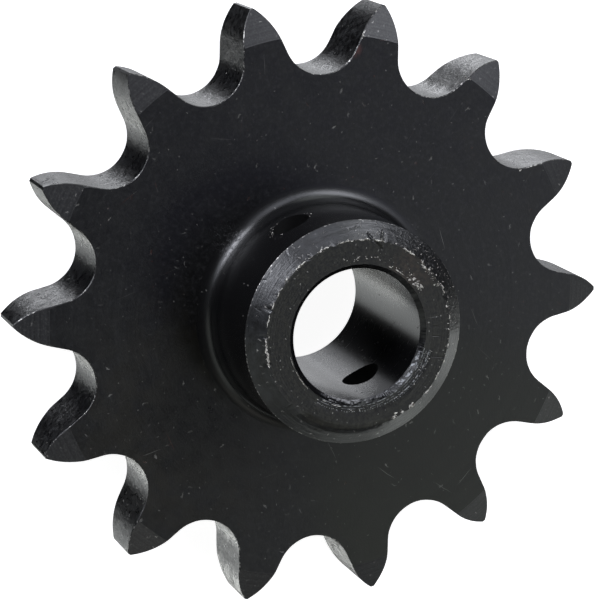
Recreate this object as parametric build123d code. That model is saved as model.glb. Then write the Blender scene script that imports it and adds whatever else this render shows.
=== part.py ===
from build123d import *

import os
from math import pi, sin, tan, radians

# A 14-tooth roller-chain sprocket with a hub on one side, turned and milled from one steel blank.
# Millimetres. The bore runs along +Z. The plate's back face is at Z = 0 and the hub points up.
# A tooth gap is centred on +X, and the cross hole through the hub runs along X.

# The roller chain that it carries
chain_pitch = 25.4
roller_d = 15.88
teeth = 14

# Tooth gap: a round seat, a short straight flank and a convex arc that rolls over to the tip
seat_to_roller = 0.505  # seat radius for each millimetre of roller diameter, so the roller turns freely
seat_half_angle = 63.5  # degrees of seat on each side of the gap's middle
flank_l = 4.0
topping_r = 13.8
tooth_rise = 7.05  # tip circle outside the pitch circle

# Toothed plate, with its rim turned to a cone on both faces so the chain's side plates find the teeth
plate_t = 16.0
rim_bevel_l = 6.85
rim_bevel_angle = 20.0

# Hub
overall_l = 40.0
hub_d = 46.0
hub_root_r = 3.5
hub_chamfer_radial = 3.5
hub_chamfer_axial = 2.8

# Bore, with a small chamfer at the hub end and a deeper one at the plate's back face
bore_d = 27.0
bore_front_chamfer = 1.0
bore_back_chamfer = 2.0

# Cross hole for the pin that fixes the hub to its shaft, plain through both walls
pin_hole_d = 8.0
pin_hole_rise = 10.3  # its centre above the plate's front face

# How far each cutting tool runs past the steel
overrun = 2.0

pitch_r = chain_pitch / 2 / sin(pi / teeth)
seat_r = seat_to_roller * roller_d
tip_r = pitch_r + tooth_rise
bore_r = bore_d / 2
hub_r = hub_d / 2


def turned_blank():
    """The blank as it leaves the lathe: plate, hub, bore and all turned chamfers."""
    rim_drop = rim_bevel_l * tan(radians(rim_bevel_angle))
    back_and_rim = Polyline(
        (bore_r, bore_back_chamfer),
        (bore_r + bore_back_chamfer, 0),
        (tip_r - rim_bevel_l, 0),
        (tip_r, rim_drop),
        (tip_r, plate_t - rim_drop),
        (tip_r - rim_bevel_l, plate_t),
        (hub_r + hub_root_r, plate_t),
    )
    hub_root = CenterArc((hub_r + hub_root_r, plate_t + hub_root_r), hub_root_r, 270, -90)
    hub_and_bore = Polyline(
        (hub_r, plate_t + hub_root_r),
        (hub_r, overall_l - hub_chamfer_axial),
        (hub_r - hub_chamfer_radial, overall_l),
        (bore_r + bore_front_chamfer, overall_l),
        (bore_r, overall_l - bore_front_chamfer),
        (bore_r, bore_back_chamfer),
    )
    half_section = make_face(back_and_rim + hub_root + hub_and_bore)
    return revolve(Plane.XZ * half_section, Axis.Z)


def gap_cutter():
    """One tooth gap, centred on +X and cut right through the plate."""
    seat = CenterArc((pitch_r, 0), seat_r, 180, -seat_half_angle)
    flank = PolarLine(seat @ 1, flank_l, direction=seat % 1)
    topping = JernArc(flank @ 1, flank % 1, topping_r, seat_half_angle)
    shoulder = topping @ 1
    far_x = max(shoulder.X, tip_r) + overrun
    mouth = Polyline(shoulder, (far_x, shoulder.Y), (far_x, 0))
    upper_side = seat + flank + topping + mouth
    gap = make_face(upper_side + mirror(upper_side, Plane.XZ))
    return Pos(0, 0, -overrun) * extrude(gap, plate_t + 2 * overrun)


def pin_hole_cutter():
    """The drill that goes across the hub along X and out of the far wall."""
    drill = Cylinder(pin_hole_d / 2, hub_d + 2 * overrun, rotation=(0, 90, 0))
    return Pos(0, 0, plate_t + pin_hole_rise) * drill


def make_sprocket():
    gaps = [Rot(0, 0, i * 360 / teeth) * gap_cutter() for i in range(teeth)]
    return turned_blank() - gaps - pin_hole_cutter()


os.makedirs("parts", exist_ok=True)
sprocket = make_sprocket()
sprocket.label = "sprocket"
export_step(sprocket, "parts/sprocket.step")
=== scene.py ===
import math
import random

import bmesh
import bpy
import numpy as np
from mathutils import Matrix, Vector, noise


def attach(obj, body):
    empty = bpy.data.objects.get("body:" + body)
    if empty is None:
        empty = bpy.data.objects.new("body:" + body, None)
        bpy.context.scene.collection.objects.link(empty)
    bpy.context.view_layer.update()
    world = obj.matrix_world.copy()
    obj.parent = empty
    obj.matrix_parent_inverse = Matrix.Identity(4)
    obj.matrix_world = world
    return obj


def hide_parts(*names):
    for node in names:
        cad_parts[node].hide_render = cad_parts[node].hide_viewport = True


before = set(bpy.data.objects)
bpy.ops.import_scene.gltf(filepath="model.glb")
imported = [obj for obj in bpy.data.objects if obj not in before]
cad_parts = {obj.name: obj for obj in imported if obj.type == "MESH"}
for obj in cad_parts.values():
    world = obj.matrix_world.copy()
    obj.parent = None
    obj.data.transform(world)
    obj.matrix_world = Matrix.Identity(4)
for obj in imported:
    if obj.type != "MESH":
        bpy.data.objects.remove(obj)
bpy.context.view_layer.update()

# A 14-tooth roller-chain sprocket with a hub on one side, in one piece of blackened steel.
# Sizes are in millimetres. The bore runs along +Z, the back face is at Z = 0 and the hub points up.
# A tooth gap is centred on +X, and the cross hole through the hub runs along X.
# Places round the axis are azimuths in degrees, anticlockwise from +X.
MM = 0.001

# The chain it carries, and the gap cut for one roller
teeth = 14
chain_pitch = 25.4
pitch_r = chain_pitch / 2 / math.sin(math.pi / teeth)
seat_r = 8.02
seat_half_angle = 63.5
flank_l = 4.0
topping_r = 13.8
tooth_rise = 7.05
tip_r = pitch_r + tooth_rise

# Toothed plate, its rim turned to a cone on both faces
plate_t = 16.0
rim_bevel_l = 6.85
rim_bevel_angle = 20.0
bevel_start_r = tip_r - rim_bevel_l
bevel_slope = math.tan(math.radians(rim_bevel_angle))

# Hub and bore
overall_l = 40.0
hub_r = 23.0
hub_root_r = 3.5
hub_chamfer_radial = 3.5
hub_chamfer_axial = 2.8
hub_rim_r = hub_r - hub_chamfer_radial
hub_chamfer_foot = overall_l - hub_chamfer_axial
hub_chamfer_l = 4.5  # down its slope
chamfer_slope = hub_chamfer_axial / hub_chamfer_radial
bore_r = 13.5
bore_front_chamfer = 1.0
bore_back_chamfer = 2.0
mouth_r = bore_r + bore_front_chamfer
pin_hole_r = 4.0
pin_hole_z = 26.3

# How finely the round is cut: steps along each stretch of half a tooth gap
seat_steps, flank_steps, topping_steps, land_steps = 16, 4, 11, 1
half_gap_steps = seat_steps + flank_steps + topping_steps + land_steps
columns = 2 * half_gap_steps * teeth
azimuths = np.arange(columns) * 360 / columns
even = np.radians(azimuths)

# How finely the section is cut: rows of points across each surface
back_rows, tooth_back_rows, gap_wall_rows, tooth_front_rows, front_rows = 4, 3, 9, 4, 10
fillet_rows, hub_wall_rows, chamfer_rows, end_rows, mouth_rows, bore_rows = 12, 13, 19, 17, 5, 7

# What deburring took off the sharp edges: at least this much, and up to this much more
edge_break, edge_break_spread = 0.08, 0.16
hub_edge_break = 0.12
edge_band = 0.3  # the face next to a tooth's edge is at least this wide

# Where the hub's end is damaged, from one azimuth to another
bitten_rim = (-5, 290)  # knocks took bites out of the rim
rounded_rim = (-62, -8)  # handling wore the rim's corner round
torn_chamfer = (63, 133)  # a worn tool tore the chamfer
torn_mouth = (-62, 50)  # the boring tool tore the end face beside the bore
grey_rings = (-60, 50)  # and left broken rings there
wide_rings = (5, 50)  # which reach further out here
torn_lip = (0, 48)  # and run down the bore's own chamfer
torn_mouth_r = 16.7
grey_ring_r = 15.6
wide_ring_reach = 0.7

# Dents and scratches in the hub's end: azimuth and radius of each end, half its width, and its depth
HUB_SCORES = (
    (149, 20.4, 140, 18.0, 0.30, 0.32),
    (140, 21.2, 141, 19.9, 0.28, 0.22),
    (45, 16.8, 47, 19.4, 0.14, 0.08),
    (74, 15.6, 74, 17.4, 0.12, 0.06),
    (67, 15.4, 67, 17.0, 0.12, 0.06),
    (60, 15.8, 60, 17.4, 0.12, 0.06),
    (-133, 22.1, -132, 21.2, 0.12, 0.04),
    (-166, 22.9, -165, 22.2, 0.20, 0.08),
    (-147, 22.8, -148, 22.3, 0.20, 0.08),
    (153, 21.9, 160, 21.5, 0.14, 0.07),
)


# ---------------------------------------------------------------- small helpers

def srgb(code):
    """An sRGB hex colour as the linear RGBA that a shader socket takes."""
    parts = [int(code[i:i + 2], 16) / 255 for i in (1, 3, 5)]
    linear = [c / 12.92 if c <= 0.04045 else ((c + 0.055) / 1.055) ** 2.4 for c in parts]
    return (*linear, 1.0)


def node(tree, kind, inputs=None, **settings):
    """Adds one node with its settings. An input takes a value, an output, or a node's first live output."""
    made = tree.nodes.new("ShaderNode" + kind)
    for name, value in settings.items():
        setattr(made, name, value)
    for name, value in (inputs or {}).items():
        if isinstance(value, bpy.types.Node):
            value = next(output for output in value.outputs if output.enabled)
        if isinstance(value, bpy.types.NodeSocket):
            tree.links.new(value, made.inputs[name])
        else:
            made.inputs[name].default_value = value
    return made


def add_mesh(name, points, faces, materials):
    """A mesh of points in metres, with a slot for each material."""
    mesh = bpy.data.meshes.new(name)
    mesh.from_pydata(points, [], faces)
    for material in materials:
        mesh.materials.append(material)
    mesh.update()
    return mesh


def add_object(name, data):
    made = bpy.data.objects.new(name, data)
    bpy.context.scene.collection.objects.link(made)
    return made


def within(azimuth, stretch):
    """1 inside a stretch of azimuth, easing to 0 at both ends."""
    start, end = stretch
    ease = 8.0  # degrees
    off = np.abs((azimuth - (start + end) / 2 + 180) % 360 - 180)
    return np.clip(((end - start) / 2 - off) / ease + 0.5, 0, 1)


# ---------------------------------------------------------------- the sprocket's mesh

def half_gap():
    """Half a tooth gap, from its middle to the middle of a tooth: points, and normals out of the steel."""
    points, normals = [], []
    for i in range(seat_steps + 1):
        a = math.radians(180 - seat_half_angle * i / seat_steps)
        points.append((pitch_r + seat_r * math.cos(a), seat_r * math.sin(a)))
        normals.append((-math.cos(a), -math.sin(a)))
    end = math.radians(180 - seat_half_angle)
    along = (math.sin(end), -math.cos(end))
    across = (-along[1], along[0])
    for i in range(1, flank_steps + 1):
        step = flank_l * i / flank_steps
        x, y = points[seat_steps]
        points.append((x + along[0] * step, y + along[1] * step))
        normals.append((-across[0], -across[1]))
    foot = points[-1]
    centre = (foot[0] + across[0] * topping_r, foot[1] + across[1] * topping_r)
    far = math.hypot(*centre)
    corner = math.acos((tip_r**2 + far**2 - topping_r**2) / (2 * tip_r * far))
    corner = math.atan2(centre[1], centre[0]) - corner
    start = math.atan2(foot[1] - centre[1], foot[0] - centre[0])
    end = math.atan2(tip_r * math.sin(corner) - centre[1], tip_r * math.cos(corner) - centre[0])
    for i in range(1, topping_steps + 1):
        a = start + (end - start) * i / topping_steps
        points.append((centre[0] + topping_r * math.cos(a), centre[1] + topping_r * math.sin(a)))
        normals.append((math.cos(a), math.sin(a)))
    for i in range(1, land_steps + 1):
        a = corner + (math.pi / teeth - corner) * i / land_steps
        points.append((tip_r * math.cos(a), tip_r * math.sin(a)))
        normals.append((math.cos(a), math.sin(a)))
    return points, normals


def outline():
    """The whole toothed edge: a point and an outward normal for each column, from the gap on +X round."""
    points, normals = half_gap()
    ring, outward = [], []
    for gap in range(teeth):
        turn = Matrix.Rotation(2 * math.pi * gap / teeth, 2)
        for side, order in ((1, range(half_gap_steps)), (-1, range(half_gap_steps, 0, -1))):
            for i in order:
                ring.append(turn @ Vector((points[i][0], side * points[i][1])))
                outward.append(turn @ Vector((normals[i][0], side * normals[i][1])))
            turn = Matrix.Rotation(2 * math.pi * (gap + 1) / teeth, 2)
    return np.array(ring), np.array(outward)


def front_z(r):
    """Height of the plate's front face, which falls away in a cone over the teeth."""
    return plate_t - np.maximum(0, r - bevel_start_r) * bevel_slope


def ring_noise(travel, height, scale, seed, along=1.0):
    """Bumps and hollows up to about height mm, all round a row that is travel mm along the section. They are
    about scale mm across, and along times as long round the axis."""
    smoothness, finer, octaves = 0.6, 2.1, 3
    travel = np.broadcast_to(travel, columns)
    out = np.empty(columns)
    reach = hub_rim_r / (scale * along)
    for i, a in enumerate(even):
        at = Vector((reach * math.cos(a) + seed, reach * math.sin(a), travel[i] / scale))
        out[i] = noise.fractal(at, smoothness, finer, octaves)
    return height * out


def score_depth(a, r):
    """How deep the dents and scratches in the hub's end are, at these angles and radii."""
    x, y = r * np.cos(a), r * np.sin(a)
    depths = np.zeros(columns)
    for azimuth_0, r_0, azimuth_1, r_1, half_width, depth in HUB_SCORES:
        a_0, a_1 = math.radians(azimuth_0), math.radians(azimuth_1)
        x_0, y_0 = r_0 * math.cos(a_0), r_0 * math.sin(a_0)
        run_x, run_y = r_1 * math.cos(a_1) - x_0, r_1 * math.sin(a_1) - y_0
        t = ((x - x_0) * run_x + (y - y_0) * run_y) / (run_x**2 + run_y**2)
        t = np.clip(t, 0, 1)
        off = np.hypot(x - x_0 - t * run_x, y - y_0 - t * run_y)
        depths = np.maximum(depths, depth * np.maximum(0, 1 - (off / half_width) ** 2))
    return depths


def chipped_rim():
    """Radius of the edge between the hub's chamfer and its end face, round the axis: wavy, and bitten."""
    rng = random.Random(3)
    bites = 34
    waves = ring_noise(0, height=0.10, scale=7.0, seed=2)
    ripples = ring_noise(0, height=0.07, scale=1.3, seed=5)
    rim = hub_rim_r + waves + ripples
    for _ in range(bites):
        where = rng.uniform(0, 360)
        half_width = rng.uniform(0.3, 1.0)
        depth = rng.uniform(0.1, 0.35)
        off = np.radians(np.abs((azimuths - where + 180) % 360 - 180)) * hub_rim_r
        rim -= depth * np.maximum(0, 1 - (off / half_width) ** 2) * within(azimuths, bitten_rim)
    return rim


def worn_corner(off):
    """How much handling took off the hub's end, this many mm from the rim."""
    reach = 1.5
    removed = np.maximum(0, reach - off) ** 2 * chamfer_slope / (4 * reach)
    return removed * within(azimuths, rounded_rim)


def lay_plate(lay):
    """The back face from the bore out, the walls of the tooth gaps, and the front face in to the hub."""
    ring, outward = outline()
    uneven = np.clip(0.5 + ring_noise(0, height=1, scale=1.5, seed=41), 0, 1)
    broken = edge_break + edge_break_spread * uneven
    face_edge = ring - outward * broken[:, None]
    edge_r = np.hypot(face_edge[:, 0], face_edge[:, 1])
    edge_a = np.unwrap(np.arctan2(face_edge[:, 1], face_edge[:, 0]))
    wall_r = np.hypot(ring[:, 0], ring[:, 1])
    wall_a = np.unwrap(np.arctan2(ring[:, 1], ring[:, 0]))
    split_r = np.minimum(bevel_start_r, edge_r - edge_band)
    back_r = bore_r + bore_back_chamfer
    root_r = hub_r + hub_root_r

    for t in np.linspace(0, 1, back_rows + 1)[:-1]:
        lay(even + (edge_a - even) * t, back_r + (split_r - back_r) * t, 0, "plate")
    for t in np.linspace(0, 1, tooth_back_rows):
        r = split_r + (edge_r - split_r) * t
        lay(edge_a, r, plate_t - front_z(r), "plate" if t < 1 else "edge")
    low, high = plate_t - front_z(wall_r) + broken, front_z(wall_r) - broken
    for t in np.linspace(0, 1, gap_wall_rows):
        lay(wall_a, wall_r, low + (high - low) * t, "gap_wall" if t < 1 else "edge")
    for t in np.linspace(1, 0, tooth_front_rows):
        r = split_r + (edge_r - split_r) * t
        lay(edge_a, r, front_z(r), "plate")
    for t in np.linspace(1, 0, front_rows + 2)[1:-1]:
        r = root_r + (split_r - root_r) * t
        lay(even + (edge_a - even) * t, r, front_z(r), "plate")


def lay_hub_wall(lay):
    """The hub's root fillet and its wall, up to the broken edge of the chamfer."""
    for t in np.linspace(0, math.pi / 2, fillet_rows):
        z = plate_t + hub_root_r * (1 - math.cos(t))
        lay(even, hub_r + hub_root_r - hub_root_r * math.sin(t), z, "hub_wall")
    wall_foot, wall_head = plate_t + hub_root_r, hub_chamfer_foot - hub_edge_break
    for t in np.linspace(0, 1, hub_wall_rows + 1)[1:]:
        lay(even, hub_r, wall_foot + (wall_head - wall_foot) * t, "hub_wall" if t < 1 else "edge")


def lay_chamfer(lay, rim):
    """The hub's chamfer from out to in, scored round the axis and torn on one side."""
    torn = within(azimuths, torn_chamfer)
    outer = hub_r - hub_edge_break
    bite_fade = 5  # the bites in the rim fade out fast down the slope
    tear_sink, sink = 0.05, 0.02
    for t in np.linspace(0, 1, chamfer_rows):
        travel = hub_chamfer_l * t
        r = outer + (hub_rim_r - outer) * t + (rim - hub_rim_r) * t**bite_fade
        z = hub_chamfer_foot + hub_chamfer_axial * t - worn_corner(r - rim)
        scores = ring_noise(travel, height=0.030, scale=0.5, seed=11, along=12)
        grit = ring_noise(travel, height=0.010, scale=0.7, seed=13)
        tears = torn * (ring_noise(travel, height=0.07, scale=0.9, seed=17, along=1.6) - tear_sink)
        inside = math.sin(math.pi * t) ** 0.5
        z = z + inside * (scores + grit + tears - sink) - score_depth(even, r)
        lay(even, r, z, "chamfer" if t < 1 else "end_face")


def lay_end_face(lay, rim, mouth):
    """The hub's end face from its rim in to the bore's mouth, with torn rings round part of the mouth."""
    crowding = 0.85  # rows lie closer near the mouth
    torn_border = 0.8
    tear_sink, sink = 0.07, 0.012
    for t in np.linspace(0, 1, end_rows + 1)[1:]:
        r = rim + (mouth - rim) * t**crowding
        torn = within(azimuths, torn_mouth) * np.clip((torn_mouth_r - r) / torn_border, 0, 1)
        grit = ring_noise(r, height=0.010, scale=0.7, seed=23)
        tears = torn * (ring_noise(r, height=0.07, scale=0.45, seed=29, along=7) - tear_sink)
        inside = math.sin(math.pi * t) ** 0.5
        z = overall_l - worn_corner(rim - r) + inside * (grit + tears - sink) - score_depth(even, r)
        lay(even, r, z, "end_face" if t < 1 else "mouth")


def lay_bore(lay, mouth):
    """The bore from its torn mouth down, with a chamfer at each end."""
    torn = within(azimuths, torn_mouth)
    tear_sink = 0.05
    for t in np.linspace(0, 1, mouth_rows + 1)[1:]:
        tears = torn * (ring_noise(bore_r - t, height=0.10, scale=0.4, seed=29, along=6) - tear_sink)
        tears = tears * math.sin(math.pi * t)
        r = mouth + (bore_r - mouth) * t - tears
        lay(even, r, overall_l - bore_front_chamfer * t + tears, "mouth" if t < 1 else "bore")
    bore_top = overall_l - bore_front_chamfer
    for t in np.linspace(0, 1, bore_rows + 1)[1:]:
        lay(even, bore_r, bore_top + (bore_back_chamfer - bore_top) * t, "bore")


def sprocket_rows():
    """Closed rings of points round the axis, in order round the section, and the band that starts at each."""
    rows, bands = [], []

    def lay(a, r, z, band):
        a, r, z = (np.broadcast_to(v, columns) for v in (a, r, z))
        rows.append(np.stack([r * np.cos(a), r * np.sin(a), z], 1))
        bands.append(band)

    rim = chipped_rim()
    ripples = ring_noise(0, height=0.07, scale=1.0, seed=31)
    waves = ring_noise(0, height=0.05, scale=4.0, seed=37)
    mouth = mouth_r + ripples + waves
    lay_plate(lay)
    lay_hub_wall(lay)
    lay_chamfer(lay, rim)
    lay_end_face(lay, rim, mouth)
    lay_bore(lay, mouth)
    return rows, bands


BAND_FINISH = {
    "plate": "turned_face", "edge": "rubbed_edge", "gap_wall": "milled_gap", "hub_wall": "turned_hub",
    "chamfer": "rough_chamfer", "end_face": "faced_end", "mouth": "bored", "bore": "bored",
}


def finish_names(band, azimuth, r):
    """The finish of each face in a band, from where its middle is. Torn finishes have ragged borders."""
    names = np.full(len(r), BAND_FINISH[band], dtype=object)
    # taken as radians, the azimuths make these waves as good as random from one face to the next
    ragged = 0.25 * np.sin(azimuth * 3.1) + 0.18 * np.sin(azimuth * 7.7)
    chamfer_spread, lip_spread = 6, 12  # degrees for each millimetre
    if band == "plate":
        names[r > bevel_start_r] = "turned_cone"
    if band == "chamfer":
        names[within(azimuth + chamfer_spread * ragged, torn_chamfer) > 0.5] = "torn_chamfer"
    if band == "end_face":
        border = grey_ring_r + ragged + wide_ring_reach * within(azimuth, wide_rings)
        names[(within(azimuth, grey_rings) > 0.5) & (r < border)] = "torn_mouth"
    if band == "mouth":
        names[within(azimuth + lip_spread * ragged, torn_lip) > 0.5] = "torn_mouth"
    return names


def sprocket_mesh(finishes):
    """The sprocket as one closed mesh, each face on its finish's material."""
    rows, bands = sprocket_rows()
    count = len(rows)
    slots = list(finishes)
    faces, slot_of = [], []
    for i in range(count):
        a, b = i * columns, ((i + 1) % count) * columns
        here, there = rows[i], rows[(i + 1) % count]
        middle = (here + np.roll(here, -1, 0) + there + np.roll(there, -1, 0)) / 4
        azimuth = np.degrees(np.arctan2(middle[:, 1], middle[:, 0]))
        names = finish_names(bands[i], azimuth, np.hypot(middle[:, 0], middle[:, 1]))
        for j in range(columns):
            k = (j + 1) % columns
            faces.append((a + j, a + k, b + k, b + j))
            slot_of.append(slots.index(names[j]))
    mesh = add_mesh("sprocket_body", (np.concatenate(rows) * MM).tolist(), faces, finishes.values())
    mesh.polygons.foreach_set("material_index", slot_of)
    mesh.update()
    return mesh


def pin_drill(material):
    """A cylinder along X where the pin hole goes, to cut it with."""
    steps, overrun = 72, 2.0
    points, faces = [], []
    for x in (-hub_r - overrun, hub_r + overrun):
        for i in range(steps):
            a = 2 * math.pi * i / steps
            points.append(Vector((x, pin_hole_r * math.cos(a), pin_hole_z + pin_hole_r * math.sin(a))) * MM)
    for i in range(steps):
        k = (i + 1) % steps
        faces.append((i, k, steps + k, steps + i))
    faces.append(tuple(reversed(range(steps))))
    faces.append(tuple(range(steps, 2 * steps)))
    return add_object("drill", add_mesh("drill", points, faces, [material]))


def make_sprocket(finishes):
    """The whole sprocket, with the pin hole drilled through its hub."""
    body = add_object("sprocket_body", sprocket_mesh(finishes))
    drill = pin_drill(finishes["drilled"])
    cut = body.modifiers.new("pin_hole", "BOOLEAN")
    cut.operation = "DIFFERENCE"
    cut.solver = "EXACT"
    cut.object = drill
    cut.material_mode = "TRANSFER"
    bpy.context.view_layer.update()
    drilled = bpy.data.meshes.new_from_object(body.evaluated_get(bpy.context.evaluated_depsgraph_get()))
    body.modifiers.clear()
    body.data = drilled
    drilled.name = "sprocket_body"
    bpy.data.objects.remove(drill)
    # slivers that the cut leaves round the hole's mouths would catch the light
    sliver = 0.004 * MM
    clean = bmesh.new()
    clean.from_mesh(drilled)
    bmesh.ops.remove_doubles(clean, verts=clean.verts, dist=sliver)
    bmesh.ops.dissolve_degenerate(clean, edges=clean.edges, dist=sliver)
    clean.to_mesh(drilled)
    clean.free()
    drilled.shade_smooth()
    sharp_angle = 15
    drilled.set_sharp_from_angle(angle=math.radians(sharp_angle))
    weighted = body.modifiers.new("even_shading", "WEIGHTED_NORMAL")
    weighted.keep_sharp = True
    return body


# ---------------------------------------------------------------- burrs and crumbs of torn metal

UP = Vector((0, 0, 1))
tallest_burr = 0.08


def burr(points, faces, path, up, width, height, rng):
    """Adds one closed ragged sliver, which lies along the path and stands up from it by up to height."""
    end_sink, side_sink, keel_sink = 0.02, 0.03, 0.06  # how deep it is rooted in the steel
    corners = 5
    base = len(points)
    last = len(path) - 1
    points.append(path[0] - up * end_sink)
    for i in range(1, last):
        along = (path[i + 1] - path[i - 1]).normalized()
        side = along.cross(up)
        swell = math.sin(math.pi * i / last) ** 0.4
        half = 0.65 * width * swell * rng.uniform(0.5, 1.3)
        top = height * swell * rng.uniform(0.4, 1.0)
        lean = rng.uniform(-0.4, 0.4) * half
        points.append(path[i] - side * half - up * side_sink)
        points.append(path[i] + side * (lean - 0.5 * half) + up * top * rng.uniform(0.6, 1))
        points.append(path[i] + side * (lean + 0.4 * half) + up * top)
        points.append(path[i] + side * half - up * side_sink)
        points.append(path[i] - up * keel_sink)
    points.append(path[last] - up * end_sink)
    end = len(points) - 1
    for i in range(last - 1):
        a = base + 1 + corners * i
        for k in range(corners):
            m = (k + 1) % corners
            if i == 0:
                faces.append((base, a + m, a + k))
            if i < last - 2:
                faces.append((a + k, a + m, a + corners + m, a + corners + k))
            else:
                faces.append((a + k, a + m, end))


def hub_point(azimuth, r):
    """A point on the hub's end face or, outside its rim, on the chamfer."""
    a = math.radians(azimuth)
    z = overall_l - max(0.0, r - hub_rim_r) * chamfer_slope
    return Vector((r * math.cos(a), r * math.sin(a), z))


def add_burr_lines(points, faces, lines, wander, rng):
    """Crooked burrs round the hub's end. Each line has its first and last azimuth, its radius and width."""
    pitch = 0.35
    for azimuth_0, azimuth_1, r, width in lines:
        count = max(3, round(math.radians(abs(azimuth_1 - azimuth_0)) * r / pitch))
        path = []
        for i in range(count + 1):
            azimuth = azimuth_0 + (azimuth_1 - azimuth_0) * i / count
            path.append(hub_point(azimuth, r + rng.uniform(-wander, wander)))
        burr(points, faces, path, UP, width, tallest_burr, rng)


def crumb(points, faces, at, up, length, width, rng):
    """A short burr that lies any way across the steel."""
    across = up.orthogonal().normalized()
    across.rotate(Matrix.Rotation(rng.uniform(0, math.pi), 3, up))
    bend = across.cross(up) * rng.uniform(-0.25, 0.25) * length
    path = [at + across * length * s + bend * (1 - (2 * s) ** 2) for s in (-0.5, -0.2, 0.15, 0.5)]
    burr(points, faces, path, up, width, min(tallest_burr, 0.3 * width), rng)


def add_crumbs(points, faces, patches, least, slimness, rng):
    """Crumbs strewn over patches of the hub's end. Each patch has its first and last azimuth, its inner and
    outer radius, how many crumbs, and the longest one's length. The shortest is the share least of that."""
    for azimuth_0, azimuth_1, r_0, r_1, count, longest in patches:
        for _ in range(count):
            at = hub_point(rng.uniform(azimuth_0, azimuth_1), rng.uniform(r_0, r_1))
            length = longest * rng.uniform(least, 1)
            crumb(points, faces, at, UP, length, length * rng.uniform(*slimness), rng)


def burr_piece(name, points, faces, material):
    """One piece of burrs, from points in millimetres, that rides on the sprocket."""
    piece = add_object(name, add_mesh(name, [p * MM for p in points], faces, [material]))
    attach(piece, "root")


def rim_burrs(material):
    """Along the rim, from where the chamfer was torn into the end face: lines, and crumbs between them."""
    rng = random.Random(11)
    points, faces = [], []
    lines = (
        (-118.5, -99, 19.5, 0.34), (-119.5, -117.5, 19.0, 0.40), (-110, -101, 19.3, 0.30),
        (-157, -152, 19.6, 0.30), (139, 146, 19.4, 0.28), (148, 156, 19.45, 0.30),
        (-149, -142, 19.5, 0.20), (-140, -135, 19.5, 0.25), (-132, -124, 19.5, 0.18),
        (-183, -178, 19.5, 0.25), (190, 199, 19.5, 0.20), (-168, -163, 19.5, 0.35),
        (-175, -171, 19.5, 0.25), (174, 178, 19.5, 0.40), (158, 169, 19.45, 0.22),
        (117, 127, 19.4, 0.28), (105, 111, 19.0, 0.35), (86, 90, 19.7, 0.25),
        (70, 73, 19.6, 0.25), (53, 57, 19.6, 0.30), (43, 46, 19.6, 0.35),
        (32, 39, 19.55, 0.25), (22, 29, 19.7, 0.25), (9, 14, 19.4, 0.55),
        (11, 14, 19.0, 0.40), (3, 6, 19.1, 0.30), (-3, 1, 19.2, 0.60), (-1, 2, 18.7, 0.45),
    )
    patches = (
        (93, 113, 18.5, 20.1, 34, 0.55), (60, 93, 19.2, 20.4, 26, 0.35), (18, 60, 19.1, 20.3, 34, 0.40),
        (-172, -120, 19.2, 19.9, 34, 0.35), (140, 188, 19.3, 19.8, 22, 0.30), (-4, 16, 18.8, 20.0, 9, 0.40),
        (-120, -88, 19.1, 20.0, 8, 0.35), (60, 112, 19.2, 20.0, 16, 0.90), (120, 170, 19.3, 19.8, 12, 0.60),
    )
    add_burr_lines(points, faces, lines, 0.12, rng)
    add_crumbs(points, faces, patches, 0.35, (0.2, 0.5), rng)
    burr_piece("rim_burrs", points, faces, material)


def chamfer_crumbs(material):
    """Specks of metal smeared on to the torn chamfer."""
    rng = random.Random(19)
    points, faces = [], []
    patches = (
        (88, 132, 20.4, 22.7, 26, 0.38), (138, 156, 20.0, 22.6, 36, 0.35), (64, 88, 20.2, 22.8, 12, 0.28),
        (-160, -120, 20.0, 22.8, 14, 0.22), (160, 186, 20.0, 22.4, 10, 0.22),
    )
    add_crumbs(points, faces, patches, 0.3, (0.25, 0.55), rng)
    burr_piece("chamfer_crumbs", points, faces, material)


def mouth_burrs(material):
    """Round the mouth of the bore: a thin raised lip on one side, crumbs on the other."""
    rng = random.Random(23)
    points, faces = [], []
    lines = (
        (-103, -90, 14.8, 0.14), (-90, -71, 14.75, 0.16), (-57, -52, 14.8, 0.14), (-48, -39, 14.9, 0.14),
        (115, 124, 15.0, 0.22), (98, 103, 15.4, 0.35), (127, 131, 15.0, 0.25),
    )
    patches = (
        (95, 110, 14.9, 16.3, 26, 0.50), (110, 170, 14.9, 16.2, 26, 0.35), (22, 50, 14.7, 16.4, 40, 0.28),
        (-60, 22, 14.8, 15.8, 46, 0.25), (100, 140, 15.5, 17.6, 16, 0.20),
        (97, 112, 15.0, 16.2, 10, 0.90), (138, 168, 14.9, 16.0, 8, 0.60),
    )
    add_burr_lines(points, faces, lines, 0.05, rng)
    add_crumbs(points, faces, patches, 0.35, (0.3, 0.7), rng)
    burr_piece("mouth_burrs", points, faces, material)


def tooth_burrs(material):
    """Knocks on the front edges of three teeth, each with its crumbs of pale metal."""
    rng = random.Random(31)
    points, faces = [], []
    knocks = ((-28.5, 49.7), (-47.3, 32.5), (-5.3, 52.5))
    crumbs_each, inset, spread = 5, 0.25, 0.5
    for x, y in knocks:
        inward = 1 - inset / math.hypot(x, y)
        for _ in range(crumbs_each):
            off = Vector((rng.uniform(-spread, spread), rng.uniform(-spread, spread), 0))
            at = Vector((x * inward, y * inward, plate_t)) + off
            crumb(points, faces, at, UP, rng.uniform(0.3, 0.7), rng.uniform(0.15, 0.3), rng)
    burr_piece("tooth_burrs", points, faces, material)


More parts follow.
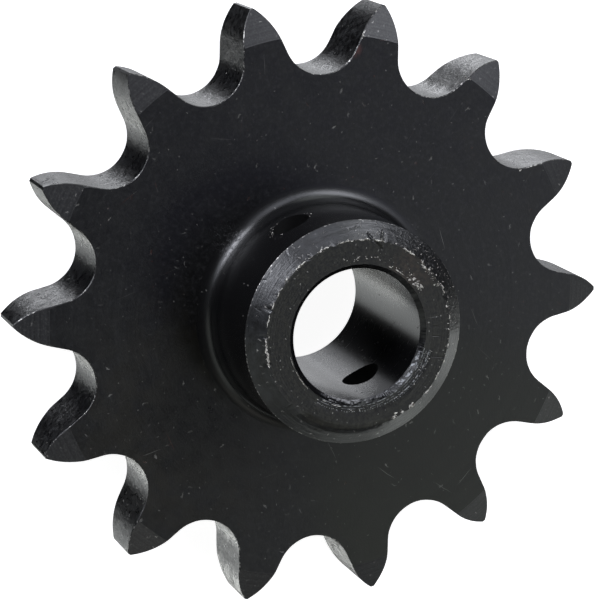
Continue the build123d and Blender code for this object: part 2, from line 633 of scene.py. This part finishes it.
def pin_hole_burrs(material):
    """Crumbs that the drill left on the hub wall, mostly at the two sides of the pin hole's mouth on -X."""
    rng = random.Random(29)
    points, faces = [], []
    count = 32
    for _ in range(count):
        a = rng.choice((0.0, 3.0, 3.3, 4.4)) + rng.gauss(0, 0.4)
        reach = pin_hole_r + rng.uniform(0.05, 1.1)
        y, z = reach * math.cos(a), pin_hole_z + reach * math.sin(a)
        up = Vector((-math.sqrt(hub_r**2 - y**2), y, 0)).normalized()
        length = rng.uniform(0.12, 0.45)
        crumb(points, faces, up * hub_r + UP * z, up, length, length * rng.uniform(0.3, 0.7), rng)
    burr_piece("pin_hole_burrs", points, faces, material)


# ---------------------------------------------------------------- finishes

# Sockets of a colour Mix node: how much one colour covers another, the one under and the one over
BY, UNDER, OVER = 0, 6, 7

OXIDE = srgb("#080809")
GREY_OXIDE = srgb("#1f2022")
BARE = srgb("#b9b7b2")
RUST = srgb("#7a4234")
STAIN = srgb("#15130e")

# Places where the skin of the steel differs, and where shade is painted on it
BROWN_STAIN = (9.0, -38.0, plate_t)
OIL_FILM = (47.0, 10.0, plate_t)
# the middle of a painted shade on the plate beside the hub
HUB_SHADE_CENTRE = (8.0, -29.0, plate_t)
RUST_SPOT = (-45.6, 29.7, plate_t)
ROUGH_ROOT = (-23.4, -11.4, plate_t + 1.0)
BROWNED_END = (-6.6, 15.6, overall_l)


def on_steel(tree, size, stretch=(1, 1, 1)):
    """Coordinates fixed to the steel, in which one unit is size mm, times the stretch along each axis."""
    place = node(tree, "TexCoord")
    scale = [size * MM * s for s in stretch]
    return node(tree, "Mapping", {"Vector": place.outputs["Object"], "Scale": scale}, vector_type="TEXTURE")


def cloud(tree, size, low, high, stretch=(1, 1, 1), detail=3.0):
    """Soft patches about size mm across: 0 where the cloud is under low, 1 where it is over high."""
    mist = node(tree, "TexNoise", {
        "Vector": on_steel(tree, size, stretch), "Scale": 1.0, "Detail": detail, "Roughness": 0.6})
    return node(tree, "MapRange", {
        "Value": mist, "From Min": low, "From Max": high}, interpolation_type="SMOOTHSTEP")


def patch(tree, centre, core, reach):
    """1 within core mm of one place on the steel, easing to 0 at reach mm from it."""
    place = node(tree, "TexCoord")
    middle = [c * MM for c in centre]
    far = node(tree, "VectorMath", {0: place.outputs["Object"], 1: middle}, operation="DISTANCE")
    return node(tree, "MapRange", {
        "Value": far, "From Min": reach * MM, "From Max": core * MM}, interpolation_type="SMOOTHSTEP")


def broken_patch(tree, centre, core, reach, size, low, high):
    """A patch that a cloud breaks up into blotches about size mm across."""
    return node(tree, "Math", {
        0: patch(tree, centre, core, reach), 1: cloud(tree, size, low, high)}, operation="MULTIPLY")


def nicks(tree, spacing, length, width, rarity, depth=0.0, shift=0.0):
    """Small separate marks, one for each cell spacing mm across. Each lies its own way and has ragged sides.
    The higher the rarity, the fewer are strong. With a depth they also follow the steel's third direction,
    and a shift gives them cells of their own."""
    bends, bend_width, solid_core = 2.5, 2.2, 0.3
    place = on_steel(tree, spacing)
    moved = node(tree, "VectorMath", {0: place, 1: (shift, shift, shift)}, operation="ADD")
    cells = node(tree, "TexVoronoi", {"Vector": moved, "Scale": 1.0, "Randomness": 1.0})
    draw = node(tree, "SeparateColor", {"Color": cells.outputs["Color"]})
    wobble = node(tree, "TexNoise", {"Vector": moved, "Scale": bends * spacing / length, "Detail": 2.0})
    centred = node(tree, "VectorMath", {0: wobble.outputs["Color"], 1: (0.5, 0.5, 0.5)}, operation="SUBTRACT")
    bend = node(tree, "VectorMath", {0: centred, "Scale": bend_width * width / spacing}, operation="SCALE")
    offset = node(tree, "VectorMath", {0: moved, 1: cells.outputs["Position"]}, operation="SUBTRACT")
    ragged = node(tree, "VectorMath", {0: offset, 1: bend}, operation="ADD")
    way = node(tree, "Math", {0: draw.outputs["Green"], 1: math.pi}, operation="MULTIPLY")
    turned = node(tree, "VectorRotate", {"Vector": ragged, "Angle": way}, rotation_type="Z_AXIS")
    shape = (2 * spacing / length, 2 * spacing / width, 2 * spacing / depth if depth else 0.0)
    shaped = node(tree, "VectorMath", {0: turned, 1: shape}, operation="MULTIPLY")
    reach = node(tree, "VectorMath", {0: shaped}, operation="LENGTH")
    mark = node(tree, "MapRange", {
        "Value": reach, "From Min": 1.0, "From Max": solid_core}, interpolation_type="SMOOTHSTEP")
    strength = node(tree, "Math", {0: draw.outputs["Red"], 1: rarity}, operation="POWER")
    return node(tree, "Math", {0: mark, 1: strength}, operation="MULTIPLY")


def lathe_grooves(tree, feed):
    """The lathe tool's grooves, feed mm apart, which follow the turned profile out along faces and up along
    walls. Real ones are about 0.2 mm apart, too fine to show, so every feed here is coarser."""
    place = node(tree, "TexCoord")
    flat = node(tree, "VectorMath", {0: place.outputs["Object"], 1: (1, 1, 0)}, operation="MULTIPLY")
    radius = node(tree, "VectorMath", {0: flat}, operation="LENGTH")
    height = node(tree, "SeparateXYZ", {0: place.outputs["Object"]})
    travel = node(tree, "Math", {0: height.outputs["Z"], 1: radius}, operation="SUBTRACT")
    steps = node(tree, "Math", {0: travel, 1: 1 / (feed * MM)}, operation="MULTIPLY")
    return node(tree, "TexNoise", {"W": steps, "Scale": 1.0, "Detail": 2.0}, noise_dimensions="1D")


def surface(finish):
    """The material named after a finish, which is a function that gives the shader its inputs."""
    material = bpy.data.materials.new(finish.__name__)
    material.use_nodes = True
    tree = material.node_tree
    tree.nodes.clear()
    shader = node(tree, "BsdfPrincipled", finish(tree))
    node(tree, "OutputMaterial", {"Surface": shader})
    return material


def turned_black_oxide_steel(tree):
    """Steel turned on a lathe, then blackened hot in salts and oiled: near black and satin, with hairline
    grooves round the axis, and small dents whose rubbed bottoms show grey or rusty. It is browner on one
    side and olive under a film of oil on another. Beside the hub it is darker: a painted shade where the hub
    keeps light off the plate, and there it is also a little less rough."""
    dents = nicks(tree, 5.5, 1.4, 0.45, 4.5)
    dust = nicks(tree, 2.4, 0.50, 0.28, 6.0, shift=3.0)
    scratches = nicks(tree, 10.0, 6.0, 0.14, 5.0, shift=7.0)
    worn = node(tree, "Math", {0: dents, 1: dust}, operation="MAXIMUM")
    worn = node(tree, "Math", {0: worn, 1: scratches}, operation="MAXIMUM")
    faint = node(tree, "Math", {0: worn, 1: 0.27}, operation="MULTIPLY")
    brown = broken_patch(tree, BROWN_STAIN, 8.0, 38.0, 5.0, 0.3, 0.6)
    oily = node(tree, "Math", {0: patch(tree, OIL_FILM, 22.0, 38.0), 1: 0.85}, operation="MULTIPLY")
    # painted shade beside the hub, which also makes the plate a little less rough there
    hub_shade = patch(tree, HUB_SHADE_CENTRE, 2.0, 21.0)
    rusty = broken_patch(tree, RUST_SPOT, 0.5, 2.2, 0.8, 0.25, 0.55)
    metal = node(tree, "Mix", {
        BY: cloud(tree, 6.0, 0.56, 0.62), UNDER: BARE, OVER: RUST}, data_type="RGBA")
    colour = OXIDE
    for amount, tint in (
        (cloud(tree, 0.9, 0.45, 0.75, detail=4.0), srgb("#1a1a1b")),
        (brown, STAIN),
        (oily, srgb("#12140b")),
        # the painted shade beside the hub
        (hub_shade, srgb("#070604")),
        (rusty, srgb("#4a2d28")),
        (faint, metal),
    ):
        colour = node(tree, "Mix", {BY: amount, UNDER: colour, OVER: tint}, data_type="RGBA")
    fine = node(tree, "Bump", {"Height": lathe_grooves(tree, 0.7), "Distance": 0.005 * MM})
    coarse = node(tree, "Bump", {
        "Height": lathe_grooves(tree, 3.0), "Distance": 0.018 * MM, "Normal": fine})
    grain = node(tree, "TexNoise", {"Vector": on_steel(tree, 0.4), "Scale": 1.0, "Detail": 3.0})
    skin = node(tree, "Bump", {"Height": grain, "Distance": 0.014 * MM, "Normal": coarse})
    rough = broken_patch(tree, ROUGH_ROOT, 1.5, 5.5, 0.7, 0.5, 0.62)
    pitted = node(tree, "Bump", {"Height": rough, "Distance": -0.03 * MM, "Normal": skin})
    satin = node(tree, "MapRange", {
        "Value": cloud(tree, 3.0, 0.3, 0.7, detail=4.0), "To Min": 0.32, "To Max": 0.39})
    return {
        "Base Color": colour,
        "Metallic": faint,
        "Roughness": node(tree, "Math", {0: hub_shade, 1: -0.05, 2: satin}, operation="MULTIPLY_ADD"),
        "Normal": node(tree, "Bump", {"Height": dents, "Distance": -0.04 * MM, "Normal": pitted}),
    }


def smooth_turned_black_oxide_steel(tree):
    """The hub wall and its root, turned last with a round-nosed tool: smoother than the plate, so its
    highlights are narrow and it goes quite black beside them, with pits near the root and a few rubs."""
    rubs = nicks(tree, 2.2, 0.5, 0.28, 5.0, depth=1.2)
    worn = node(tree, "Math", {0: rubs, 1: 0.5}, operation="MULTIPLY")
    place = node(tree, "TexCoord")
    height = node(tree, "SeparateXYZ", {0: place.outputs["Object"]})
    rough = broken_patch(tree, ROUGH_ROOT, 1.5, 5.5, 0.7, 0.5, 0.62)
    grooves = node(tree, "Bump", {"Height": lathe_grooves(tree, 0.6), "Distance": 0.003 * MM})
    grain = node(tree, "TexNoise", {"Vector": on_steel(tree, 0.5), "Scale": 1.0, "Detail": 3.0})
    skin = node(tree, "Bump", {"Height": grain, "Distance": 0.005 * MM, "Normal": grooves})
    return {
        "Base Color": node(tree, "Mix", {BY: worn, UNDER: OXIDE, OVER: BARE}, data_type="RGBA"),
        "Metallic": worn,
        # the foot of the root, beside the plate, is as rough as the plate
        "Roughness": node(tree, "MapRange", {
            "Value": height.outputs["Z"], "From Min": plate_t * MM, "From Max": (plate_t + 1.0) * MM,
            "To Min": 0.36, "To Max": 0.265}),
        "Normal": node(tree, "Bump", {"Height": rough, "Distance": -0.03 * MM, "Normal": skin}),
    }


def turned_cone_black_oxide_steel(tree):
    """The rim cone, turned after the faces and left rougher: a greyer black, with grooves and small rubs."""
    rubs = nicks(tree, 2.2, 0.8, 0.35, 4.0)
    half_rubs = node(tree, "Math", {0: rubs, 1: 0.5}, operation="MULTIPLY")
    thin = node(tree, "Math", {0: cloud(tree, 0.4, 0.45, 0.75), 1: 0.05}, operation="MULTIPLY")
    worn = node(tree, "Math", {0: half_rubs, 1: thin}, operation="MAXIMUM")
    feed = lathe_grooves(tree, 0.5)
    arcs = node(tree, "MapRange", {"Value": feed, "From Min": 0.35, "From Max": 0.65})
    black = node(tree, "Mix", {
        BY: arcs, UNDER: srgb("#1e1e1f"), OVER: srgb("#2b2b2c")}, data_type="RGBA")
    grooves = node(tree, "Bump", {"Height": feed, "Distance": 0.014 * MM})
    grain = node(tree, "TexNoise", {"Vector": on_steel(tree, 0.35), "Scale": 1.0, "Detail": 3.0})
    return {
        "Base Color": node(tree, "Mix", {BY: worn, UNDER: black, OVER: BARE}, data_type="RGBA"),
        "Metallic": worn,
        "Roughness": 0.36,
        "Normal": node(tree, "Bump", {"Height": grain, "Distance": 0.012 * MM, "Normal": grooves}),
    }


def milled_black_oxide_steel(tree):
    """Tooth gaps cut with a form cutter: smoother than the faces, so they mirror more, but clouded, with fine
    streaks along the outline and dark pits along the worn stretches."""
    pits = nicks(tree, 0.9, 0.50, 0.40, 5.0, depth=0.7)
    streaks = node(tree, "TexNoise", {
        "Vector": on_steel(tree, 0.30, (14, 14, 1)), "Scale": 1.0, "Detail": 3.0})
    grain = node(tree, "TexNoise", {"Vector": on_steel(tree, 0.45), "Scale": 1.0, "Detail": 4.0})
    waves = node(tree, "TexNoise", {"Vector": on_steel(tree, 3.5), "Scale": 1.0, "Detail": 3.0})
    streaked = node(tree, "Bump", {"Height": streaks, "Distance": 0.018 * MM})
    grained = node(tree, "Bump", {"Height": grain, "Distance": 0.065 * MM, "Normal": streaked})
    wavy = node(tree, "Bump", {"Height": waves, "Distance": 0.22 * MM, "Normal": grained})
    return {
        "Base Color": node(tree, "Mix", {
            BY: cloud(tree, 1.2, 0.45, 0.75), UNDER: OXIDE, OVER: srgb("#161719")}, data_type="RGBA"),
        "Roughness": node(tree, "MapRange", {
            "Value": cloud(tree, 1.2, 0.35, 0.65, detail=4.0), "To Min": 0.27, "To Max": 0.40}),
        "Normal": node(tree, "Bump", {"Height": pits, "Distance": -0.08 * MM, "Normal": wavy}),
    }


def rubbed_edge_steel(tree):
    """Sharp edges knocked down by deburring and handling: bare grey metal in dots and dashes on black."""
    dashes = cloud(tree, 0.5, 0.51, 0.64, detail=2.0)
    worn = node(tree, "Math", {0: dashes, 1: cloud(tree, 6.0, 0.38, 0.55)}, operation="MULTIPLY")
    facets = node(tree, "TexNoise", {"Vector": on_steel(tree, 0.25), "Scale": 1.0, "Detail": 2.0})
    return {
        "Base Color": node(tree, "Mix", {
            BY: worn, UNDER: OXIDE, OVER: srgb("#a3a19d")}, data_type="RGBA"),
        "Metallic": worn,
        "Roughness": 0.42,
        "Normal": node(tree, "Bump", {"Height": facets, "Distance": 0.04 * MM}),
    }


def rough_turned_black_oxide_steel(tree):
    """The hub's outer chamfer, turned with a worn tool: black with a grey bloom, scored round the axis."""
    rubs = nicks(tree, 1.8, 0.8, 0.30, 4.0)
    worn = node(tree, "Math", {0: rubs, 1: 0.6}, operation="MULTIPLY")
    bloom = node(tree, "Mix", {
        BY: cloud(tree, 2.0, 0.3, 0.8), UNDER: OXIDE, OVER: GREY_OXIDE}, data_type="RGBA")
    scores = node(tree, "Bump", {"Height": lathe_grooves(tree, 0.35), "Distance": 0.020 * MM})
    grain = node(tree, "TexNoise", {
        "Vector": on_steel(tree, 0.40), "Scale": 1.0, "Detail": 4.0, "Roughness": 0.6})
    return {
        "Base Color": node(tree, "Mix", {BY: worn, UNDER: bloom, OVER: BARE}, data_type="RGBA"),
        "Metallic": worn,
        "Roughness": 0.30,
        "Normal": node(tree, "Bump", {"Height": grain, "Distance": 0.030 * MM, "Normal": scores}),
    }


def torn_black_oxide_steel(tree):
    """Where the worn tool tore the chamfer and didn't cut it: deep black hollows with small bright flakes."""
    flakes = nicks(tree, 0.8, 0.60, 0.18, 4.0, shift=5.0)
    worn = node(tree, "Math", {0: flakes, 1: 0.45}, operation="MULTIPLY")
    hollows = node(tree, "TexNoise", {
        "Vector": on_steel(tree, 0.55), "Scale": 1.0, "Detail": 4.0, "Roughness": 0.65})
    return {
        "Base Color": node(tree, "Mix", {BY: worn, UNDER: OXIDE, OVER: BARE}, data_type="RGBA"),
        "Metallic": worn,
        "Roughness": 0.34,
        "Normal": node(tree, "Bump", {"Height": hollows, "Distance": 0.14 * MM}),
    }


def faced_black_oxide_steel(tree):
    """The hub's end face, faced with a fine feed and blackened, then handled: a dull olive black, browner on
    one side, with a few rubbed specks."""
    specks = nicks(tree, 1.7, 0.50, 0.26, 4.0)
    worn = node(tree, "Math", {0: specks, 1: 0.6}, operation="MULTIPLY")
    brown = broken_patch(tree, BROWNED_END, 1.5, 7.0, 1.0, 0.40, 0.62)
    colour = srgb("#080807")
    for amount, tint in (
        (cloud(tree, 0.6, 0.38, 0.66, detail=4.0), srgb("#1e1d18")),
        (brown, srgb("#2d251e")),
        (worn, BARE),
    ):
        colour = node(tree, "Mix", {BY: amount, UNDER: colour, OVER: tint}, data_type="RGBA")
    grooves = node(tree, "Bump", {"Height": lathe_grooves(tree, 0.4), "Distance": 0.025 * MM})
    skin = node(tree, "TexNoise", {
        "Vector": on_steel(tree, 0.45), "Scale": 1.0, "Detail": 4.0, "Roughness": 0.6})
    return {
        "Base Color": colour,
        "Metallic": worn,
        "Roughness": 0.40,
        "Normal": node(tree, "Bump", {"Height": skin, "Distance": 0.034 * MM, "Normal": grooves}),
    }


def torn_mouth_black_oxide_steel(tree):
    """Where the boring tool ran out and tore the end face: black, with broken grey rings round the axis."""
    rings = node(tree, "MapRange", {
        "Value": lathe_grooves(tree, 0.30), "From Min": 0.52, "From Max": 0.62},
        interpolation_type="SMOOTHSTEP")
    torn = node(tree, "Math", {0: rings, 1: cloud(tree, 0.6, 0.42, 0.58)}, operation="MULTIPLY")
    hollows = node(tree, "TexNoise", {
        "Vector": on_steel(tree, 0.45), "Scale": 1.0, "Detail": 3.0, "Roughness": 0.65})
    scored = node(tree, "Bump", {"Height": torn, "Distance": 0.04 * MM})
    return {
        "Base Color": node(tree, "Mix", {
            BY: torn, UNDER: OXIDE, OVER: srgb("#8b8d8f")}, data_type="RGBA"),
        "Metallic": node(tree, "Math", {0: torn, 1: 0.3}, operation="MULTIPLY"),
        "Roughness": 0.42,
        "Normal": node(tree, "Bump", {"Height": hollows, "Distance": 0.06 * MM, "Normal": scored}),
    }


def bored_black_oxide_steel(tree):
    """The bore, bored and reamed: the smoothest surface, with hairline rings and a few dull pricks and
    dashes, which look dark where the rest shines."""
    pits = nicks(tree, 1.9, 0.70, 0.45, 4.0, depth=0.9)
    dashes = cloud(tree, 0.30, 0.64, 0.76, stretch=(9, 9, 1))
    faint = node(tree, "Math", {0: dashes, 1: 0.15}, operation="MULTIPLY")
    sooty = node(tree, "Math", {0: pits, 1: faint}, operation="MAXIMUM")
    grooves = node(tree, "Bump", {"Height": lathe_grooves(tree, 0.5), "Distance": 0.002 * MM})
    grain = node(tree, "TexNoise", {"Vector": on_steel(tree, 0.5), "Scale": 1.0, "Detail": 2.0})
    return {
        "Base Color": OXIDE,
        "Roughness": node(tree, "MapRange", {"Value": sooty, "To Min": 0.26, "To Max": 1.0}),
        "Normal": node(tree, "Bump", {"Height": grain, "Distance": 0.0015 * MM, "Normal": grooves}),
    }


def drilled_steel_painted_shade(tree):
    """The pin hole, drilled and left rough: dull black with scores round the drill. The near-black colour and
    weak shine are painted shade that keeps the inside of the hole dark.
    """
    scores = node(tree, "TexNoise", {
        "Vector": on_steel(tree, 0.4, (1, 5, 5)), "Scale": 1.0, "Detail": 3.0})
    return {
        # painted shade: a black darker than the oxide elsewhere
        "Base Color": srgb("#040404"),
        "Roughness": 0.75,
        "Specular IOR Level": 0.2,
        "Normal": node(tree, "Bump", {"Height": scores, "Distance": 0.03 * MM}),
    }


def bare_steel_burr(tree):
    """Burrs and torn lips, rubbed bright after blackening: pale warm grey metal, dirty in its hollows."""
    dirt = cloud(tree, 0.5, 0.40, 0.62)
    facets = node(tree, "TexNoise", {"Vector": on_steel(tree, 0.15), "Scale": 1.0, "Detail": 2.0})
    return {
        "Base Color": node(tree, "Mix", {
            BY: dirt, UNDER: srgb("#ccc9c2"), OVER: srgb("#504b46")}, data_type="RGBA"),
        "Metallic": 0.55,
        "Roughness": 0.50,
        "Normal": node(tree, "Bump", {"Height": facets, "Distance": 0.04 * MM}),
    }


finishes = {
    "turned_face": surface(turned_black_oxide_steel),
    "turned_hub": surface(smooth_turned_black_oxide_steel),
    "turned_cone": surface(turned_cone_black_oxide_steel),
    "milled_gap": surface(milled_black_oxide_steel),
    "rubbed_edge": surface(rubbed_edge_steel),
    "rough_chamfer": surface(rough_turned_black_oxide_steel),
    "torn_chamfer": surface(torn_black_oxide_steel),
    "faced_end": surface(faced_black_oxide_steel),
    "torn_mouth": surface(torn_mouth_black_oxide_steel),
    "bored": surface(bored_black_oxide_steel),
    "drilled": surface(drilled_steel_painted_shade),
}

body = make_sprocket(finishes)
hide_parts("sprocket")
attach(body, "root")

bare_steel = surface(bare_steel_burr)
rim_burrs(bare_steel)
chamfer_crumbs(bare_steel)
mouth_burrs(bare_steel)
pin_hole_burrs(bare_steel)
tooth_burrs(bare_steel)


# ---------------------------------------------------------------- studio

floor_half = 2.0  # metres
floor_drop = 0.1  # the floor lies this far under the back face, in millimetres
lamp_width = 28  # degrees across, seen from the sprocket

# Name, azimuth, elevation, strength and colour
LAMPS = (
    ("key", 120, 33, 1.50, "#f3f6ff"),
    ("key_high", 60, 60, 0.12, "#dadcff"),
    ("side_high", 90, 42, 0.32, "#eff3ff"),
    ("side", 30, 42, 0.54, "#f9fff7"),
    ("behind", 42, -8, 0.36, "#fbfffd"),
    ("behind_middle", 15, -8, 0.28, "#fafffc"),
    ("behind_right", 347, -8, 0.17, "#f9fffa"),
    ("behind_far_right", 322, -8, 0.16, "#f9fffa"),
    ("right_high", 330, 42, 0.12, "#fffef3"),
    ("right", 300, 25, 0.15, "#f8fff9"),
    ("right_front", 270, 25, 0.13, "#f8fff9"),
    ("front", 214, 29, 0.54, "#eff3ff"),
    ("front_low", 203, 17, 2.20, "#f2f5ff"),
    ("front_left", 166, 32, 0.35, "#f0f3ff"),
    ("left", 150, 42, 0.32, "#edf1ff"),
    ("left_low", 137, 10, 0.30, "#f7feff"),
    ("bounce_front", 150, -42, 2.80, "#f9fbff"),
    ("bounce_left_floor", 96, -60, 0.20, "#f9fbff"),
    ("bounce_floor", 144, -60, 0.12, "#f6f9ff"),
    ("bounce_right", 300, -42, 2.75, "#fdfffb"),
    ("bounce_right_floor", 288, -60, 0.20, "#fbffff"),
)


def glowing_white_paint(tree):
    """The floor's matt paint, which glows so that it is evenly white."""
    return {
        "Base Color": srgb("#d8d8d8"),
        "Roughness": 0.9,
        "Emission Color": srgb("#ffffff"),
        "Emission Strength": 0.94,
    }


def white_floor():
    """The floor isn't mirrored and casts no shadow, because the lamps under it stand in for the light that a
    floor throws back up."""
    corners = ((-1, -1), (1, -1), (1, 1), (-1, 1))
    points = [(x * floor_half, y * floor_half, -floor_drop * MM) for x, y in corners]
    mesh = add_mesh("floor", points, [(0, 1, 2, 3)], [surface(glowing_white_paint)])
    floor = add_object("floor", mesh)
    floor.visible_glossy = False
    floor.visible_shadow = False


def lamp(name, azimuth, elevation, power, colour):
    """A soft light from far off, at this azimuth and elevation."""
    data = bpy.data.lights.new(name, "SUN")
    data.energy = power
    data.angle = math.radians(lamp_width)
    data.color = srgb(colour)[:3]
    a, e = math.radians(azimuth), math.radians(elevation)
    towards = Vector((math.cos(a) * math.cos(e), math.sin(a) * math.cos(e), math.sin(e)))
    light = add_object(name, data)
    light.rotation_mode = "QUATERNION"
    light.rotation_quaternion = towards.to_track_quat("Z", "Y")


def white_world():
    """A white background, which the camera sees and which lights nothing."""
    world = bpy.data.worlds.new("studio")
    bpy.context.scene.world = world
    world.use_nodes = True
    background = world.node_tree.nodes["Background"]
    background.inputs["Color"].default_value = srgb("#ffffff")
    background.inputs["Strength"].default_value = 1.0
    world.cycles_visibility.glossy = False
    world.cycles_visibility.diffuse = False


def camera():
    """A long lens 0.6 m away, looking down by 67 degrees on the hub's side. The hub leans right and down."""
    right = Vector((0.39760, 0.85546, 0.33181))
    up = Vector((-0.85199, 0.47845, -0.21260))
    forward = Vector((0.34063, 0.19817, -0.91908))
    data = bpy.data.cameras.new("camera")
    data.sensor_width = 36.0
    data.lens = 168.56
    data.clip_start = 0.01
    data.clip_end = 10.0
    eye = add_object("camera", data)
    eye.rotation_mode = "QUATERNION"
    eye.rotation_quaternion = Matrix((right, up, -forward)).transposed().to_quaternion()
    eye.location = Vector((-201.749, -118.216, 549.321)) * MM
    bpy.context.scene.camera = eye


white_floor()
for settings in LAMPS:
    lamp(*settings)
white_world()
bpy.context.scene.view_settings.view_transform = "Standard"
camera()
